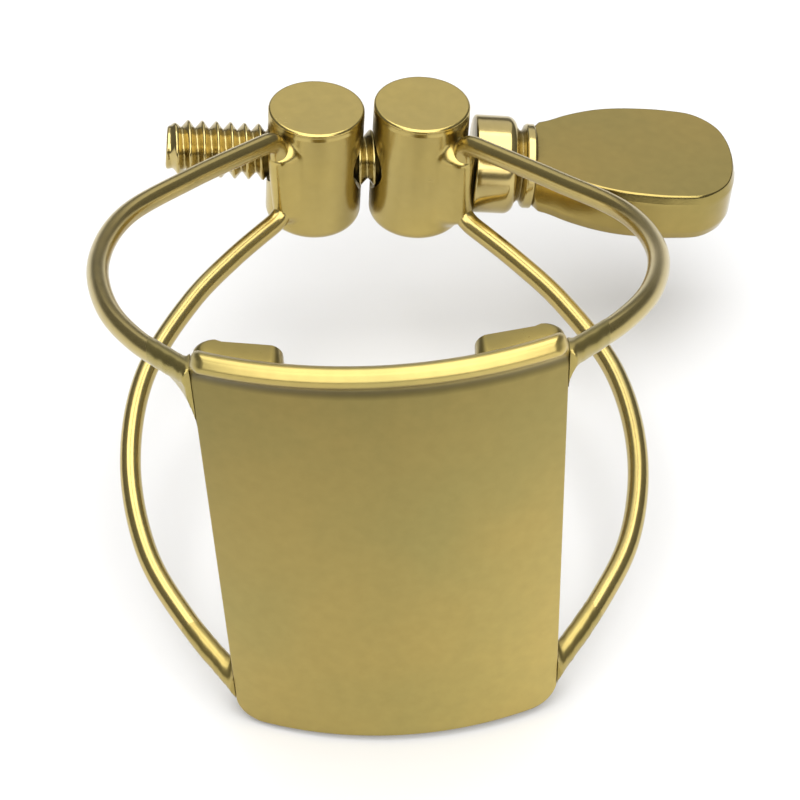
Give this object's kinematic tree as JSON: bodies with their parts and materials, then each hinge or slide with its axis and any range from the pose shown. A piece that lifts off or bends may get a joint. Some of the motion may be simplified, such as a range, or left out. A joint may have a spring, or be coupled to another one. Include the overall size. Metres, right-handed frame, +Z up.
{
  "type": "saxophone ligature",
  "caption": "Wire-bow ligature: a curved reed plate with rails, spring wire loops and clamp barrels closed by a thumbscrew, to hold a reed on a mouthpiece.",
  "frame": {"origin": "on the mouthpiece axis, at the middle of the plate's height", "axes": "+Z up along the mouthpiece axis towards the plate's rolled lip, -Y outwards through the reed plate, +Y towards the clamp, +X towards the thumb paddle"},
  "size_m": [0.0355, 0.0404, 0.0252],
  "materials": {
    "satin_brass": "satin gold lacquer",
    "polished_brass": "polished gold lacquer",
    "braze_alloy": "lacquered brazing metal"
  },
  "bodies": {
    "frame": {"pressure_plate": "satin_brass", "reed_rail_left": "satin_brass", "reed_rail_right": "satin_brass", "wire_bow_left": "polished_brass", "wire_bow_right": "polished_brass", "braze_upper_left": "braze_alloy", "braze_upper_right": "braze_alloy", "braze_lower_left": "braze_alloy", "braze_lower_right": "braze_alloy"},
    "left_clamp": {"barrel_left": "polished_brass"},
    "right_clamp": {"barrel_right": "polished_brass"},
    "thumbscrew": {"screw_shank": "polished_brass", "thumb_collar": "polished_brass", "thumb_paddle": "satin_brass"}
  },
  "joints": [
    {"name": "right_clamp_slide", "type": "slide", "parent": "frame", "child": "right_clamp", "axis": [0.9938, 0, -0.1115], "range_m": [-0.00022, 0.002], "deforming": ["wire_bow_right"]},
    {"name": "left_clamp_slide", "type": "slide", "parent": "frame", "child": "left_clamp", "axis": [-0.9938, 0, 0.1115], "range_m": [-0.00022, 0.002], "deforming": ["wire_bow_left"]},
    {"name": "thumbscrew_turn", "type": "hinge", "parent": "right_clamp", "child": "thumbscrew", "pos_m": [-0.00023, 0.0173, -0.0014], "axis": [0.9938, 0, -0.1115], "range_deg": [-198.5, 1800.5]}
  ],
  "couplings": [
    {"joint": "thumbscrew_turn", "follows": "right_clamp_slide", "rad_per_m": 15708},
    {"joint": "left_clamp_slide", "follows": "right_clamp_slide", "ratio": 1}
  ]
}
